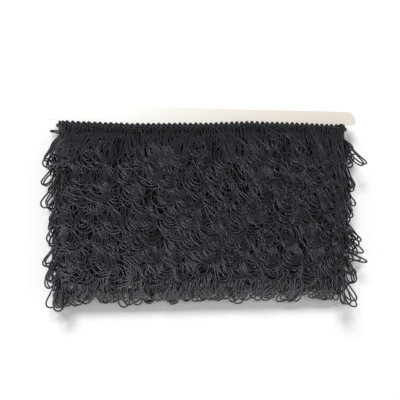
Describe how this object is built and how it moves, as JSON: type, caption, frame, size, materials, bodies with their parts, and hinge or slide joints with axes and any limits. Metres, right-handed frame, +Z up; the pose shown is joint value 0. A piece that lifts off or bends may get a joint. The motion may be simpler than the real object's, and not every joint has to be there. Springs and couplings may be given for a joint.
{
  "type": "fringe trim wound on a card",
  "caption": "Narrow chain-stitched heading with long loops of black cord hanging from it, wound in overlapping rows round a notched white card and lying flat.",
  "frame": {"origin": "under the middle of the wound card's box, on the surface that it lies on", "axes": "+X along the card's long side, +Y towards the card's bare top lip, so the loops point to -Y, and +Z up out of the card's face"},
  "size_m": [0.2098, 0.1288, 0.0247],
  "materials": {
    "white_board": "matte",
    "black_cord": "satin"
  },
  "bodies": {
    "root": {"winding_card": "white_board", "fringe_row_1": "black_cord", "fringe_row_2": "black_cord", "fringe_row_3": "black_cord", "fringe_row_4": "black_cord", "fringe_row_5": "black_cord", "fringe_row_6": "black_cord", "fringe_row_7": "black_cord", "fringe_row_8": "black_cord"}
  },
  "joints": []
}
